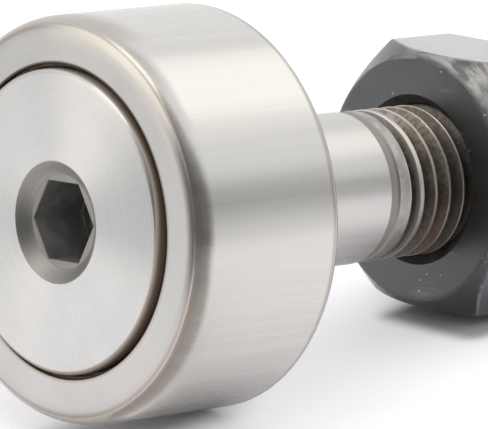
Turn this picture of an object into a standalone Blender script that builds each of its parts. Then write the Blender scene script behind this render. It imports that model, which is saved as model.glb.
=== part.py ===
"""Stud-type cam follower (track roller): 26 mm roller ring on a caged needle bearing, M10 fine stud and nut.

The stud's axis is Y. The origin is on that axis, in the plane of the side plate's outer face, which is the
shoulder that stands against the machine. The ring and the head lie towards -Y, the thread towards +Y.
"""

import math

import bmesh
import bpy
from mathutils import Matrix, Vector

MM = 0.001

# Ring, or tyre
RING_DIAMETER = 26.0 * MM
RING_WIDTH = 12.0 * MM
RING_FRONT_EDGE_DEPTH = 0.6 * MM  # how much of the front face the rounded edge takes, radially
RING_FRONT_EDGE_WIDTH = 1.45 * MM  # the same edge's share of the rolling surface, along the axis
RING_REAR_ROUND = 0.6 * MM
RING_MOUTH_CHAMFER = 0.12 * MM

# Stud
STUD_DIAMETER = 10.0 * MM
STUD_LENGTH = 23.0 * MM  # from the shoulder to the threaded end
THREAD_LENGTH = 11.6 * MM
THREAD_UNDERCUT = 0.04 * MM  # how far the thread's crests lie under the ground shank, radially
RUN_OUT_LENGTH = 0.75 * MM
RUN_OUT_DEPTH = 0.16 * MM
STUD_END_CHAMFER = 0.9 * MM
CENTRE_HOLE_DIAMETER = 2.6 * MM
SPIGOT_STEP = 0.5 * MM  # the side plate's seat stands this far above the shank, radially
RACEWAY_STEP = 1.0 * MM  # the inner raceway stands this far above the shank, radially
RELIEF_WIDTH = 0.6 * MM  # grinding relief at each end of the inner raceway
RELIEF_DEPTH = 0.2 * MM

# Hexagon socket in the head
SOCKET_ACROSS_FLATS = 5.0 * MM
SOCKET_DEPTH = 4.5 * MM
SOCKET_DRILL_EXTRA = 0.4 * MM  # the drilled hole goes this much deeper than the broached hexagon
DRILL_POINT_SLOPE = math.radians(31)
COUNTERSINK_DIAMETER = 7.8 * MM
COUNTERSINK_FLOOR_DIAMETER = 6.0 * MM  # flat ring that the hexagon is broached through
COUNTERSINK_DEPTH = 0.65 * MM

# Flanges: the stud's head and the pressed-on side plate
FLANGE_PROUD = 0.5 * MM  # each stands out past the ring's face
FLANGE_INSET = 1.2 * MM  # each reaches this far into the ring
FLANGE_OVERLAP = 1.2 * MM  # each covers the ring's raceway shoulder by this much, radially
FLANGE_GAP = 0.35 * MM  # open annular gap between a flange and the ring
FLANGE_EDGE_ROUND = 0.35 * MM

# Needles and cage
NEEDLE_DIAMETER = 2.5 * MM
NEEDLE_COUNT = 12
NEEDLE_END_ROUND = 0.35 * MM
CAGE_END_WIDTH = 0.75 * MM  # from the cage's end to its pockets
CAGE_SHEET = 0.4 * MM
CAGE_HEIGHT = 1.5 * MM  # radially, over the flanges at its ends
CAGE_STEP = 0.75 * MM  # how far the middle of each bar lies inside its ends, radially
CAGE_SLANT_LENGTH = 0.8 * MM
CAGE_SHOULDER_LENGTH = 0.9 * MM  # of each bar's outer stretch, beyond the pocket's end

# Side washers and seals
WASHER_THICKNESS = 0.5 * MM
SEAL_HEIGHT = 0.6 * MM  # along the axis
SEAL_GROOVE_DEPTH = 0.6 * MM  # radially, into the ring
SEAL_RECESS = 0.35 * MM  # from the ring's face to the seal

# Nut
NUT_ACROSS_FLATS = 17.0 * MM
NUT_HEIGHT = 8.0 * MM
NUT_ENGAGEMENT = 4.9 * MM  # length of stud inside the nut
NUT_FACE_INSET = 0.35 * MM  # the round flat face ends this far inside the flats, radially
NUT_FRONT_SLOPE = math.radians(46)  # the corner chamfer's angle to the face; forged heavier towards the ring
NUT_BACK_SLOPE = math.radians(30)
NUT_COUNTERSINK_EXTRA = 0.65 * MM  # the countersink's mouth is this much larger than the thread, radially
NUT_TURN = math.radians(-4)  # of a corner about Y, from +X

# Clearances between neighbours
RUNNING_GAP = 0.1 * MM
SIDE_GAP = 0.15 * MM
PRESS_GAP = 0.05 * MM
THREAD_GAP = 0.1 * MM

# Places along Y
SHOULDER = 0.0
RING_REAR = SHOULDER - FLANGE_PROUD
RING_FRONT = RING_REAR - RING_WIDTH
HEAD_FACE = RING_FRONT - FLANGE_PROUD
HEAD_BACK = RING_FRONT + FLANGE_INSET
PLATE_FRONT = RING_REAR - FLANGE_INSET
LAND_FRONT = HEAD_BACK + WASHER_THICKNESS + 2 * SIDE_GAP
LAND_REAR = PLATE_FRONT - WASHER_THICKNESS - 2 * SIDE_GAP
MIDDLE = (RING_FRONT + RING_REAR) / 2
STUD_END = SHOULDER + STUD_LENGTH
THREAD_START = STUD_END - THREAD_LENGTH
NUT_FACE = STUD_END - NUT_ENGAGEMENT

# Radii
RING_RADIUS = RING_DIAMETER / 2
SHANK_RADIUS = STUD_DIAMETER / 2
THREAD_RADIUS = SHANK_RADIUS - THREAD_UNDERCUT
SPIGOT_RADIUS = SHANK_RADIUS + SPIGOT_STEP
INNER_RACEWAY = SHANK_RADIUS + RACEWAY_STEP
OUTER_RACEWAY = INNER_RACEWAY + NEEDLE_DIAMETER
PITCH_RADIUS = (INNER_RACEWAY + OUTER_RACEWAY) / 2
FLANGE_RADIUS = OUTER_RACEWAY + FLANGE_OVERLAP
MOUTH_RADIUS = FLANGE_RADIUS + FLANGE_GAP
CAGE_OUTER = PITCH_RADIUS + CAGE_HEIGHT / 2
CAGE_INNER = PITCH_RADIUS - CAGE_HEIGHT / 2
CAGE_LENGTH = LAND_REAR - LAND_FRONT - 2 * SIDE_GAP
POCKET_LENGTH = CAGE_LENGTH - 2 * CAGE_END_WIDTH
NEEDLE_LENGTH = POCKET_LENGTH - 2 * RUNNING_GAP
NEEDLE_RADIUS = NEEDLE_DIAMETER / 2 - RUNNING_GAP
POCKET_WIDTH = 2 * (NEEDLE_RADIUS + RUNNING_GAP)

# Facets round a full turn
LARGE_STEPS = 64
SMALL_STEPS = 48
NEEDLE_STEPS = 16
ARC_STEPS = 4


def clear_scene():
    for obj in list(bpy.data.objects):
        bpy.data.objects.remove(obj, do_unlink=True)


def material(name, colour, roughness, metallic):
    made = bpy.data.materials.new(name)
    made.use_nodes = True
    made.diffuse_color = (*colour, 1.0)
    shader = made.node_tree.nodes["Principled BSDF"]
    shader.inputs["Base Color"].default_value = (*colour, 1.0)
    shader.inputs["Roughness"].default_value = roughness
    shader.inputs["Metallic"].default_value = metallic
    return made


def arc(centre, radius, start_degrees, end_degrees, steps=ARC_STEPS):
    """Points (r, y) along an arc, with 0 degrees towards +r and 90 degrees towards +Y."""
    span = end_degrees - start_degrees
    angles = [math.radians(start_degrees + span * k / steps) for k in range(steps + 1)]
    return [(centre[0] + radius * math.cos(a), centre[1] + radius * math.sin(a)) for a in angles]


def ellipse_edge(corner, depth, width, steps=ARC_STEPS):
    """Quarter ellipse that rounds the corner (r, y) of a front face, from the face to the outer side."""
    centre = (corner[0] - depth, corner[1] + width)
    quarter = [math.radians(-90 + 90 * k / steps) for k in range(steps + 1)]
    return [(centre[0] + depth * math.cos(a), centre[1] + width * math.sin(a)) for a in quarter]


def finish(bm, name, look, smooth_degrees=30):
    """Turns the bmesh into an object with outward normals, smooth but for its sharp edges."""
    bmesh.ops.recalc_face_normals(bm, faces=bm.faces)
    mesh = bpy.data.meshes.new(name)
    bm.to_mesh(mesh)
    bm.free()
    mesh.materials.append(look)
    mesh.shade_smooth()
    mesh.set_sharp_from_angle(angle=math.radians(smooth_degrees))
    made = bpy.data.objects.new(name, mesh)
    bpy.context.scene.collection.objects.link(made)
    return made


def turned(name, profile, look, steps, closed=True):
    """Revolves (r, y) points about Y. A closed profile makes a ring; an open one runs from axis to axis."""
    bm = bmesh.new()
    points = [bm.verts.new((r, y, 0.0)) for r, y in profile]
    pairs = list(zip(points, points[1:]))
    if closed:
        pairs.append((points[-1], points[0]))
    edges = [bm.edges.new(pair) for pair in pairs]
    bmesh.ops.spin(
        bm, geom=points + edges, cent=(0, 0, 0), axis=(0, 1, 0), angle=math.tau, steps=steps, use_merge=True
    )
    bmesh.ops.remove_doubles(bm, verts=bm.verts, dist=1e-7)
    return finish(bm, name, look)


def prism(name, across_flats, front, back, turn, look):
    """Hexagonal bar along Y, with a corner at `turn` from +X."""
    corner = across_flats / 2 / math.cos(math.pi / 6)
    bm = bmesh.new()
    angles = [turn + k * math.pi / 3 for k in range(6)]
    ring = [bm.verts.new((corner * math.cos(a), front, corner * math.sin(a))) for a in angles]
    face = bm.faces.new(ring)
    pulled = bmesh.ops.extrude_face_region(bm, geom=[face])["geom"]
    moved = [item for item in pulled if isinstance(item, bmesh.types.BMVert)]
    bmesh.ops.translate(bm, verts=moved, vec=(0, back - front, 0))
    return finish(bm, name, look)


def hide_as_cutter(cutter):
    cutter.hide_render = True
    cutter.display_type = "WIRE"


def boolean(target, cutter, operation):
    modifier = target.modifiers.new(f"{operation.lower()} {cutter.name}", "BOOLEAN")
    modifier.operation = operation
    modifier.solver = "EXACT"
    modifier.object = cutter
    hide_as_cutter(cutter)


def seal_groove(face, inward):
    """The ring's seal groove as (r, y) points, from its edge at `face` inwards along Y."""
    near = face + inward * (SEAL_RECESS - PRESS_GAP)
    far = near + inward * (SEAL_HEIGHT + 2 * PRESS_GAP)
    bottom = MOUTH_RADIUS + SEAL_GROOVE_DEPTH
    return [(MOUTH_RADIUS, near), (bottom, near), (bottom, far), (MOUTH_RADIUS, far)]


def make_ring(look):
    """Tyre with its raceway between two shoulders and a counterbore with a seal groove at each face."""
    front = [(MOUTH_RADIUS, RING_FRONT + RING_MOUTH_CHAMFER), (MOUTH_RADIUS + RING_MOUTH_CHAMFER, RING_FRONT)]
    corner = (RING_RADIUS, RING_FRONT)
    edge = ellipse_edge(corner, RING_FRONT_EDGE_DEPTH, RING_FRONT_EDGE_WIDTH, ARC_STEPS + 1)
    rear = arc((RING_RADIUS - RING_REAR_ROUND, RING_REAR - RING_REAR_ROUND), RING_REAR_ROUND, 0, 90)
    rear += [(MOUTH_RADIUS + RING_MOUTH_CHAMFER, RING_REAR), (MOUTH_RADIUS, RING_REAR - RING_MOUTH_CHAMFER)]
    bore = [
        (MOUTH_RADIUS, LAND_REAR),
        (OUTER_RACEWAY + RING_MOUTH_CHAMFER, LAND_REAR),
        (OUTER_RACEWAY, LAND_REAR - RING_MOUTH_CHAMFER),
        (OUTER_RACEWAY, LAND_FRONT + RING_MOUTH_CHAMFER),
        (OUTER_RACEWAY + RING_MOUTH_CHAMFER, LAND_FRONT),
        (MOUTH_RADIUS, LAND_FRONT),
    ]
    front_groove = list(reversed(seal_groove(RING_FRONT, 1)))
    profile = front + edge + rear + seal_groove(RING_REAR, -1) + bore + front_groove
    return turned("outer_ring", profile, look, LARGE_STEPS)


def stud_profile():
    """Half section of the stud as (r, y) points, from the head's centre to the thread end's centre."""
    head = [(0.0, HEAD_FACE)]
    head += arc((FLANGE_RADIUS - FLANGE_EDGE_ROUND, HEAD_FACE + FLANGE_EDGE_ROUND), FLANGE_EDGE_ROUND, -90, 0)
    head += [(FLANGE_RADIUS, HEAD_BACK)]
    floor = INNER_RACEWAY - RELIEF_DEPTH
    raceway = [
        (floor, HEAD_BACK),
        (floor, HEAD_BACK + RELIEF_WIDTH),
        (INNER_RACEWAY, HEAD_BACK + RELIEF_WIDTH + RELIEF_DEPTH),
        (INNER_RACEWAY, PLATE_FRONT - PRESS_GAP),
    ]
    spigot = [
        (SPIGOT_RADIUS, PLATE_FRONT - PRESS_GAP),
        (SPIGOT_RADIUS, SHOULDER - RELIEF_DEPTH - SPIGOT_STEP / 2),
        (SHANK_RADIUS, SHOULDER - RELIEF_DEPTH),
    ]
    run_out = [
        (SHANK_RADIUS, THREAD_START),
        (SHANK_RADIUS - RUN_OUT_DEPTH, THREAD_START + RUN_OUT_DEPTH),
        (SHANK_RADIUS - RUN_OUT_DEPTH, THREAD_START + RUN_OUT_LENGTH - RUN_OUT_DEPTH),
        (THREAD_RADIUS, THREAD_START + RUN_OUT_LENGTH),
    ]
    hole = CENTRE_HOLE_DIAMETER / 2
    end = [
        (THREAD_RADIUS, STUD_END - STUD_END_CHAMFER),
        (THREAD_RADIUS - STUD_END_CHAMFER, STUD_END),
        (hole, STUD_END),
        (0.0, STUD_END - hole * math.tan(math.radians(60))),
    ]
    return head + raceway + spigot + run_out + end


def make_stud(look):
    """The turned stud, with its drilled and countersunk hole broached to a hexagon."""
    stud = turned("stud", stud_profile(), look, LARGE_STEPS, closed=False)
    mouth, flat = COUNTERSINK_DIAMETER / 2, COUNTERSINK_FLOOR_DIAMETER / 2
    slope = COUNTERSINK_DEPTH / (mouth - flat)
    drill = SOCKET_ACROSS_FLATS / 2 - PRESS_GAP
    above, floor = HEAD_FACE - MM, HEAD_FACE + SOCKET_DEPTH + SOCKET_DRILL_EXTRA
    hole = [
        (0.0, above),
        (mouth + MM / slope, above),
        (flat, HEAD_FACE + COUNTERSINK_DEPTH),
        (drill, HEAD_FACE + COUNTERSINK_DEPTH),
        (drill, floor),
        (0.0, floor + drill * math.tan(DRILL_POINT_SLOPE)),
    ]
    boolean(stud, turned("drill_cutter", hole, look, SMALL_STEPS, closed=False), "DIFFERENCE")
    hexagon = prism("socket_cutter", SOCKET_ACROSS_FLATS, above, HEAD_FACE + SOCKET_DEPTH, 0, look)
    boolean(stud, hexagon, "DIFFERENCE")
    return stud


def make_side_plate(look):
    outer, bore = FLANGE_RADIUS, SPIGOT_RADIUS + PRESS_GAP
    edge = FLANGE_EDGE_ROUND
    profile = [(bore, PLATE_FRONT), (outer, PLATE_FRONT)]
    profile += arc((outer - edge, SHOULDER - edge), edge, 0, 90)
    profile += [(bore, SHOULDER)]
    return turned("side_plate", profile, look, LARGE_STEPS)


def cage_profile():
    """M-shaped half section of the cage's sheet as (r, y) points, mirrored about the middle."""
    end = CAGE_LENGTH / 2
    shoulder = end - CAGE_END_WIDTH - CAGE_SHOULDER_LENGTH
    slant = shoulder - CAGE_SLANT_LENGTH
    above = [(CAGE_OUTER, end), (CAGE_OUTER, shoulder), (CAGE_OUTER - CAGE_STEP, slant)]
    below = [(r - CAGE_SHEET, y) for r, y in reversed(above)]
    below[-1] = (CAGE_OUTER - CAGE_SHEET, end - CAGE_SHEET)
    flange = [(CAGE_INNER, end - CAGE_SHEET), (CAGE_INNER, end)]
    upper = flange + above
    lower = [(r, -y) for r, y in reversed(upper)]
    under = [(r, -y) for r, y in reversed(below)] + below
    return [(r, MIDDLE + y) for r, y in upper + lower + under]


def make_cage(look):
    """Pressed sheet sleeve with a flange at each end and one window for each needle."""
    cage = turned("cage", cage_profile(), look, LARGE_STEPS)
    bm = bmesh.new()
    size = Matrix.Diagonal((2 * CAGE_HEIGHT, POCKET_LENGTH, POCKET_WIDTH, 1.0))
    for k in range(NEEDLE_COUNT):
        place = Matrix.Translation(needle_centre(k)) @ Matrix.Rotation(-needle_angle(k), 4, "Y")
        bmesh.ops.create_cube(bm, size=1.0, matrix=place @ size)
    boolean(cage, finish(bm, "pocket_cutter", look), "DIFFERENCE")
    return cage


def needle_angle(index):
    """Angle of a needle from +X, turning towards +Z. No needle lies on an axis of the row."""
    return math.tau * (index + 0.5) / NEEDLE_COUNT


def needle_centre(index):
    a = needle_angle(index)
    return Vector((PITCH_RADIUS * math.cos(a), MIDDLE, PITCH_RADIUS * math.sin(a)))


def make_needles(look):
    """Round-ended rollers, each with its origin on its own axis."""
    half, edge = NEEDLE_LENGTH / 2, NEEDLE_END_ROUND
    profile = [(0.0, -half)]
    profile += arc((NEEDLE_RADIUS - edge, edge - half), edge, -90, 0, 2)
    profile += arc((NEEDLE_RADIUS - edge, half - edge), edge, 0, 90, 2)
    profile += [(0.0, half)]
    first = turned("needle_01", profile, look, NEEDLE_STEPS, closed=False)
    needles = [first]
    for k in range(1, NEEDLE_COUNT):
        copy = bpy.data.objects.new(f"needle_{k + 1:02d}", first.data)
        bpy.context.scene.collection.objects.link(copy)
        needles.append(copy)
    for k, needle in enumerate(needles):
        needle.location = needle_centre(k)
    return needles


def make_washer(name, middle, look):
    inner, outer = INNER_RACEWAY + SIDE_GAP, MOUTH_RADIUS - SIDE_GAP
    front, rear = middle - WASHER_THICKNESS / 2, middle + WASHER_THICKNESS / 2
    return turned(name, [(inner, front), (outer, front), (outer, rear), (inner, rear)], look, SMALL_STEPS)


def make_seal(name, face, inward, look):
    """Rubber ring in the ring's groove, with a lip that narrows towards the flange."""
    lip = FLANGE_RADIUS + RUNNING_GAP
    root = MOUTH_RADIUS + SEAL_GROOVE_DEPTH - PRESS_GAP
    near = face + inward * SEAL_RECESS
    far = near + inward * SEAL_HEIGHT
    profile = [(lip, near), (root, near), (root, far), (MOUTH_RADIUS, far), (lip, (near + far) / 2)]
    return turned(name, profile, look, LARGE_STEPS)


def make_nut(look):
    """Hexagon bar cut back to a turned blank that has both chamfers, the bore and its countersinks."""
    back = NUT_FACE + NUT_HEIGHT
    nut = prism("nut", NUT_ACROSS_FLATS, NUT_FACE, back, NUT_TURN, look)
    flat = NUT_ACROSS_FLATS / 2 - NUT_FACE_INSET
    wide = NUT_ACROSS_FLATS / 2 / math.cos(math.pi / 6) + MM
    bore = THREAD_RADIUS + THREAD_GAP
    mouth = SHANK_RADIUS + NUT_COUNTERSINK_EXTRA
    sink = mouth - bore
    blank = [
        (mouth, NUT_FACE),
        (flat, NUT_FACE),
        (wide, NUT_FACE + (wide - flat) * math.tan(NUT_FRONT_SLOPE)),
        (wide, back - (wide - flat) * math.tan(NUT_BACK_SLOPE)),
        (flat, back),
        (mouth, back),
        (bore, back - sink),
        (bore, NUT_FACE + sink),
    ]
    boolean(nut, turned("nut_blank", blank, look, LARGE_STEPS), "INTERSECT")
    return nut


def main():
    clear_scene()
    ground = material("ground_steel", (0.70, 0.69, 0.675), 0.28, 1.0)
    bright = material("bright_steel", (0.78, 0.77, 0.76), 0.18, 1.0)
    rubber = material("seal_rubber", (0.030, 0.022, 0.018), 0.6, 0.0)
    plastic = material("washer_plastic", (0.55, 0.50, 0.40), 0.5, 0.0)
    cage_look = material("cage_steel", (0.40, 0.38, 0.35), 0.4, 1.0)
    black = material("nut_steel", (0.060, 0.062, 0.068), 0.35, 1.0)

    make_ring(ground)
    make_stud(ground)
    make_side_plate(ground)
    make_cage(cage_look)
    make_needles(bright)
    make_washer("thrust_washer_front", (HEAD_BACK + LAND_FRONT) / 2, plastic)
    make_washer("thrust_washer_rear", (PLATE_FRONT + LAND_REAR) / 2, plastic)
    make_seal("seal_front", RING_FRONT, 1, rubber)
    make_seal("seal_rear", RING_REAR, -1, rubber)
    make_nut(black)


main()
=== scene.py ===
"""Looks of the cam follower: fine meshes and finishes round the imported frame, on a pale table in soft light.

The row frame's axis of rotation is Y. Lengths are in metres; MM converts from millimetres.
"""

import math

import bmesh
import bpy
from mathutils import Matrix, Vector


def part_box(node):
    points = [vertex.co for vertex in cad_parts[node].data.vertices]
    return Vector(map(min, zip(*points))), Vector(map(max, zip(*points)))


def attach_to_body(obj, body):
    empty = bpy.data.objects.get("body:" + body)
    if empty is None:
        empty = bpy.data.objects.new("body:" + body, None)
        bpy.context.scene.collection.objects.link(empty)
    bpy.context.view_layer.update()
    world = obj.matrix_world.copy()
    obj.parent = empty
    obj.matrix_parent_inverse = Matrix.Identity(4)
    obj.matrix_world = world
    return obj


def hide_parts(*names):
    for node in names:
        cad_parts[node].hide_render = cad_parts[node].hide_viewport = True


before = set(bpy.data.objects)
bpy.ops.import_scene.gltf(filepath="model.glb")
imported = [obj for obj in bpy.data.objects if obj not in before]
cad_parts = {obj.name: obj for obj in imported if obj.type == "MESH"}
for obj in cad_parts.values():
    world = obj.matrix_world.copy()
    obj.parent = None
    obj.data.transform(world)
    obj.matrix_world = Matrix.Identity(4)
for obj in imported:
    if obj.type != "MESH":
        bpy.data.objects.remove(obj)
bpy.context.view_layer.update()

MM = 0.001

# Sizes read from the frame
RING_LOW, RING_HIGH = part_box("outer_ring")
STUD_LOW, STUD_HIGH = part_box("stud")
PLATE_LOW, PLATE_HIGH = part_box("side_plate")
NUT_LOW, NUT_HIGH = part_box("nut")
SEAL_LOW, SEAL_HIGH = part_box("seal_front")
_, WASHER_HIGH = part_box("thrust_washer_front")

RING_RADIUS = RING_HIGH.x
RING_FRONT, RING_REAR = RING_LOW.y, RING_HIGH.y
HEAD_FACE, STUD_END = STUD_LOW.y, STUD_HIGH.y
FLANGE_RADIUS = PLATE_HIGH.x
PLATE_FRONT, SHOULDER = PLATE_LOW.y, PLATE_HIGH.y
HEAD_BACK = HEAD_FACE + (SHOULDER - PLATE_FRONT)
NUT_FACE, NUT_BACK = NUT_LOW.y, NUT_HIGH.y

# Ring
OUTER_RACEWAY = 8.5 * MM
FLANGE_GAP = 0.28 * MM  # between a flange and the ring, as wide as the photographed one looks
SIDE_GAP = 0.15 * MM  # between the front washer and the land that it guides
MOUTH_RADIUS = FLANGE_RADIUS + FLANGE_GAP
LAND_FRONT = WASHER_HIGH.y + SIDE_GAP
LAND_REAR = RING_FRONT + RING_REAR - LAND_FRONT
FRONT_EDGE_DEPTH = 0.6 * MM  # how much of the front face the elliptical edge takes, radially
FRONT_EDGE_WIDTH = 1.45 * MM  # the same edge's share of the rolling surface, along the axis
FRONT_EDGE_START = -86  # degrees; the edge meets the face at a blunt corner
ROLL_OFF_RADIUS = 3.2 * MM  # the front face curves down before it meets the edge
ROLL_OFF_DEGREES = 12
REAR_ROUND = 0.6 * MM
SMALL_CHAMFER = 0.06 * MM
SEAL_RECESS = SEAL_LOW.y - RING_FRONT
SEAL_HEIGHT = SEAL_HIGH.y - SEAL_LOW.y
SEAL_ROOT = SEAL_HIGH.x
FIT_GAP = 0.05 * MM

# Stud
SHANK_RADIUS = 5.0 * MM
SPIGOT_RADIUS = 5.5 * MM
SPIGOT_END = SHOULDER - 0.45 * MM
SHANK_START = SHOULDER - 0.2 * MM
INNER_RACEWAY = 6.0 * MM
RELIEF_WIDTH = 0.6 * MM
RELIEF_DEPTH = 0.2 * MM
FLANGE_EDGE_ROUND = 0.35 * MM
SOCKET_APOTHEM = 2.5 * MM
SOCKET_DEPTH = 4.5 * MM
DRILL_RADIUS = 2.42 * MM
DRILL_DEPTH = 4.9 * MM
DRILL_SLOPE = math.radians(31)
SOCKET_LIP = 0.05 * MM  # chamfer round the hexagon's mouth
# (radius, depth) in millimetres, from the countersink's floor up its stepped cone
COUNTERSINK_STEPS = [(3.0, 0.65), (3.06, 0.60), (3.34, 0.44), (3.38, 0.38)]
COUNTERSINK_STEPS += [(3.62, 0.24), (3.66, 0.18), (3.84, 0.05), (3.9, 0.0)]
NECK_START = 11.4 * MM
NECK_LENGTH = 0.85 * MM
NECK_DEPTH = 0.14 * MM
END_CHAMFER = 0.9 * MM
CENTRE_HOLE_RADIUS = 1.3 * MM
CENTRE_HOLE_SLOPE = math.radians(60)

# Thread, M10 x 1.25 right-handed
PITCH = 1.25 * MM
CREST_RADIUS = 4.96 * MM
THREAD_DEPTH = 0.767 * MM
ROOT_HALF_FLAT = 0.104 * MM
FLANK_RUN = math.tan(math.radians(30))  # axial run of a flank for each unit of depth
CREST_AT = 14.25 * MM  # where a crest crosses the +X side
# Run-out: the share of the full depth that a groove has, by its place along Y in millimetres
THREAD_FADE = [(12.8, 0.0), (13.2, 0.6), (13.7, 0.72), (14.4, 0.88), (15.0, 0.95), (15.9, 1.0)]
THREAD_GAP = 0.08 * MM  # between the stud's thread and the nut's, radially
NUT_TRAVEL_IN = -5.0 * MM  # the nut's limit towards the ring, four whole pitches

# Nut
NUT_APOTHEM = 8.5 * MM
NUT_CORNER_ROUND = 0.35 * MM
NUT_TURN = math.radians(-5)
NUT_FACE_RADIUS = 8.1 * MM
NUT_FRONT_SLOPE = math.radians(48)
NUT_BACK_SLOPE = math.radians(30)
NUT_MOUTH_RADIUS = 5.65 * MM
NUT_MINOR_RADIUS = 4.36 * MM
NUT_LIP = 0.07 * MM  # rounding where faces, chamfers and bore meet
NUT_CORNER_RADIUS = NUT_APOTHEM / math.cos(math.pi / 6)

# Fineness of the meshes
RING_STEPS = 288
STUD_STEPS = 144
SEAL_STEPS = 192
ROWS_PER_PITCH = 24
ROLL_OFF_STEPS = 6
FRONT_EDGE_STEPS = 16
ROUND_STEPS = 10
PLATE_ROUND_STEPS = 8
CORNER_STEPS = 6
FLAT_STEPS = 20
SHARP_EDGE = math.radians(28)
WELD_DISTANCE = 1e-7
DEGENERATE_EDGE = 1e-8

# Camera
AZIMUTH = math.radians(47.79)
ELEVATION = math.radians(7.735)
DISTANCE = 419.56 * MM
AIM_RIGHT = 11.49 * MM
AIM_UP = 0.46 * MM
LENS = 492.05  # millimetres, on a sensor 36 mm wide

# Dark curtain for the metal's reflections. Azimuths are in degrees from +X towards +Y
FLAG_RADIUS = 75.0 * MM
FLAG_TOP = 150.0 * MM  # in front; lower at the sides, clear of the lamps
FLAG_SIDE_TOP = 48.0 * MM
FLAG_FROM, FLAG_TO = -165, 80
FLAG_MIDDLE = -22  # azimuth of the tall part's middle
FLAG_SPREAD = 52.0  # degrees from there to where it is as low as the sides
FLAG_STEPS = 64

# Taupe card on the table, with (x, y) in millimetres, and a grey ceiling panel, for the same
CARD_OUTLINE = [(2.5, -8.2), (6, -6.8), (75, 17.5), (75, -85), (4, -85), (2, -50), (6, -30), (5, -24), (2.5, -15)]
CEILING_CENTRE = (0.02, 0.14, 1.2)
CEILING_HALF = (0.46, 0.40)
CEILING_STEPS = 64

LAMP_DISTANCE = 1.0  # from the origin

# Table: the follower lies on its ring and on the nut's lower flat, so the table is not level in this frame
TABLE_NORMAL = Vector((0.069, -0.169, 0.983)).normalized()
TABLE_GAP = 0.06 * MM
RING_CONTACT = -1.0 * MM  # where along Y the ring touches the table
TABLE_RADIUS = 0.6
TABLE_STEPS = 96
TABLE_DISTANCE = TABLE_NORMAL.y * RING_CONTACT - TABLE_GAP
TABLE_DISTANCE -= RING_RADIUS * math.hypot(TABLE_NORMAL.x, TABLE_NORMAL.z)


# ---------------------------------------------------------------- meshes


def circle_angles(steps):
    return [math.tau * k / steps for k in range(steps)]


def arc(centre, radius, start_degrees, end_degrees, steps):
    """Points (r, y) along an arc, with 0 degrees towards +r and 90 degrees towards +Y."""
    span = end_degrees - start_degrees
    turns = [math.radians(start_degrees + span * k / steps) for k in range(steps + 1)]
    return [(centre[0] + radius * math.cos(a), centre[1] + radius * math.sin(a)) for a in turns]


def ring_row(angles, radius, y):
    return [(radius * math.cos(a), y, radius * math.sin(a)) for a in angles]


class Shell:
    """Collects rows of points round the axis and joins them into one welded mesh."""

    def __init__(self, angles):
        self.angles = angles
        self.bm = bmesh.new()

    def strip(self, rows, look=0):
        """Joins each row to the next. A row of one point closes the end as a fan."""
        made = [[self.bm.verts.new(point) for point in row] for row in rows]
        count = len(self.angles)
        for low, high in zip(made, made[1:]):
            for j in range(count):
                k = (j + 1) % count
                corners = [low[j % len(low)], high[j % len(high)], high[k % len(high)], low[k % len(low)]]
                self.face(corners, look)

    def face(self, corners, look):
        kept = [v for n, v in enumerate(corners) if v is not corners[n - 1]]
        if len(set(kept)) > 2:
            self.bm.faces.new(kept).material_index = look

    def lathe(self, profile, look=0):
        rows = [[(0.0, y, 0.0)] if r == 0 else ring_row(self.angles, r, y) for r, y in profile]
        self.strip(rows, look)

    def thread(self, start, end, radius_at, look=0):
        """A helical strip from y=start to y=end. radius_at(phase, y) gives the radius, with phase 0 on a crest."""
        count = len(self.angles)
        step = PITCH / ROWS_PER_PITCH
        first = math.floor((start - CREST_AT) / step)
        last = math.ceil((end + PITCH - CREST_AT) / step)
        columns = []
        for a in self.angles:
            column, low, high = [], None, None
            for i in range(first, last + 1):
                y = CREST_AT + i * step - PITCH * a / math.tau
                phase = (i % ROWS_PER_PITCH) / ROWS_PER_PITCH
                if y <= start:
                    low = low or self.bm.verts.new(self.point(a, radius_at(phase, start), start))
                    column.append(low)
                elif y >= end:
                    high = high or self.bm.verts.new(self.point(a, radius_at(phase, end), end))
                    column.append(high)
                else:
                    column.append(self.bm.verts.new(self.point(a, radius_at(phase, y), y)))
            columns.append(column)
        rows = last - first
        for j in range(count):
            here, after = columns[j], columns[(j + 1) % count]
            shift = ROWS_PER_PITCH if j == count - 1 else 0
            for i in range(rows):
                right = [after[max(i - shift, 0)], after[max(i + 1 - shift, 0)]]
                self.face([here[i], here[i + 1], right[1], right[0]], look)

    @staticmethod
    def point(angle, radius, y):
        return (radius * math.cos(angle), y, radius * math.sin(angle))

    def finish(self, name, looks):
        bmesh.ops.remove_doubles(self.bm, verts=self.bm.verts, dist=WELD_DISTANCE)
        bmesh.ops.dissolve_degenerate(self.bm, edges=self.bm.edges, dist=DEGENERATE_EDGE)
        bmesh.ops.recalc_face_normals(self.bm, faces=self.bm.faces)
        mesh = bpy.data.meshes.new(name)
        self.bm.to_mesh(mesh)
        self.bm.free()
        for look in looks:
            mesh.materials.append(look)
        mesh.shade_smooth()
        mesh.set_sharp_from_angle(angle=SHARP_EDGE)
        made = bpy.data.objects.new(name, mesh)
        bpy.context.scene.collection.objects.link(made)
        weighted = made.modifiers.new("weighted normals", "WEIGHTED_NORMAL")
        weighted.keep_sharp = True
        weighted.weight = 100
        return made


def hexagon_radius(apothem, angle):
    """Distance from the axis to a hexagon's side, with a corner at angle 0."""
    return apothem / math.cos((angle % (math.pi / 3)) - math.pi / 6)


def attach(piece, body, nodes):
    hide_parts(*nodes)
    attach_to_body(piece, body)
    return piece


def seal_groove(face, inward):
    """The groove's four corners (r, y), from the ring's face inwards."""
    near = face + inward * (SEAL_RECESS - FIT_GAP)
    far = near + inward * (SEAL_HEIGHT + 2 * FIT_GAP)
    bottom = SEAL_ROOT + FIT_GAP
    return [(MOUTH_RADIUS, near), (bottom, near), (bottom, far), (MOUTH_RADIUS, far)]


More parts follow.
